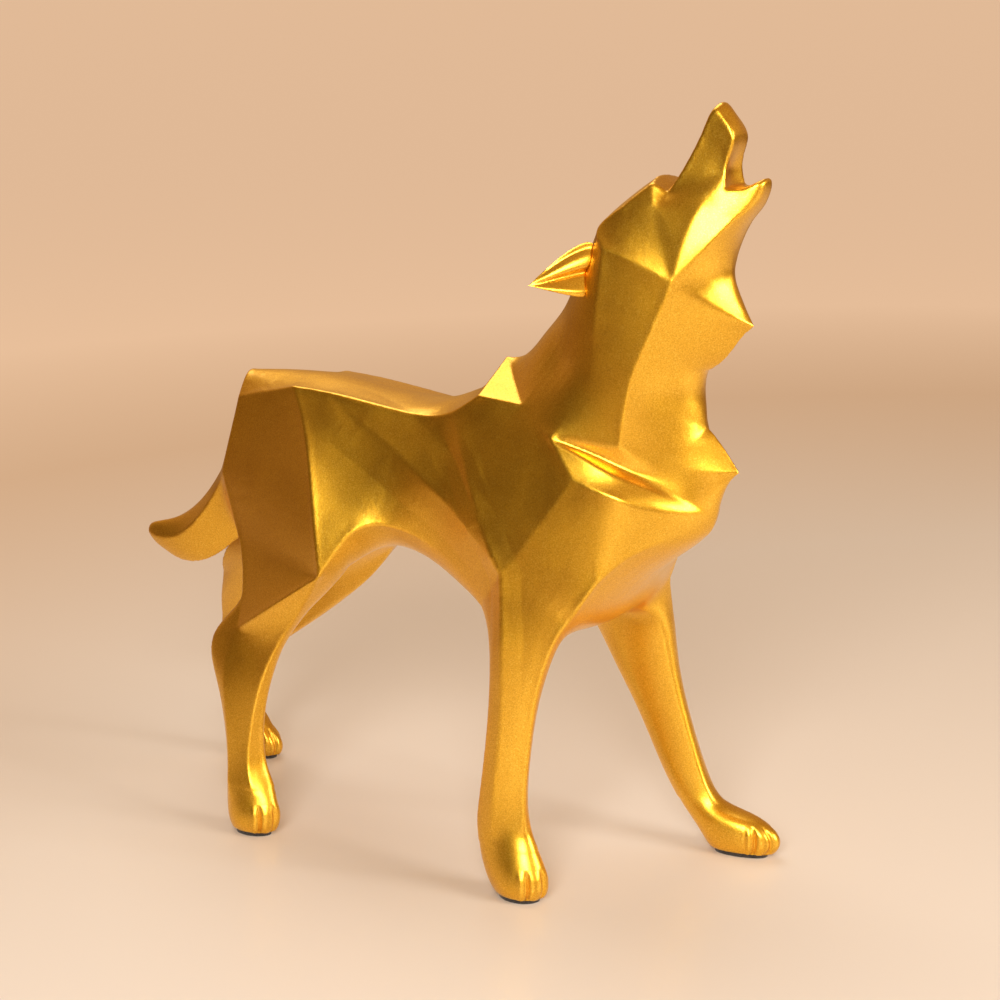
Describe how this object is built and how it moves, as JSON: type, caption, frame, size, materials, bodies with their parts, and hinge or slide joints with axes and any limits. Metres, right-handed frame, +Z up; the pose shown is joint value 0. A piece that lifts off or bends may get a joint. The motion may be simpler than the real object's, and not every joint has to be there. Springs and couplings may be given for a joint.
{
  "type": "howling wolf figurine",
  "caption": "Faceted howling wolf figurine: hollow resin casting with glued-on legs, tail and ears over steel armature wires, on thin felt paw pads.",
  "frame": {"origin": "centre of the footprint box, on the plane under the four paw pads", "axes": "+X the way the wolf faces, +Y its left side, +Z up"},
  "size_m": [0.239, 0.0832, 0.2507],
  "materials": {
    "gold_paint": "satin gold metallic paint over cast resin",
    "felt": "dark felt",
    "steel_wire": "drawn steel wire"
  },
  "bodies": {
    "root": {"body_casting": "gold_paint", "belly_plug": "gold_paint", "front_right_leg": "gold_paint", "front_left_leg": "gold_paint", "hind_right_leg": "gold_paint", "hind_left_leg": "gold_paint", "tail": "gold_paint", "right_ear": "gold_paint", "left_ear": "gold_paint", "tail_pin": "steel_wire", "front_right_wire": "steel_wire", "front_left_wire": "steel_wire", "hind_right_wire": "steel_wire", "hind_left_wire": "steel_wire", "front_right_pad": "felt", "front_left_pad": "felt", "hind_right_pad": "felt", "hind_left_pad": "felt"}
  },
  "joints": []
}
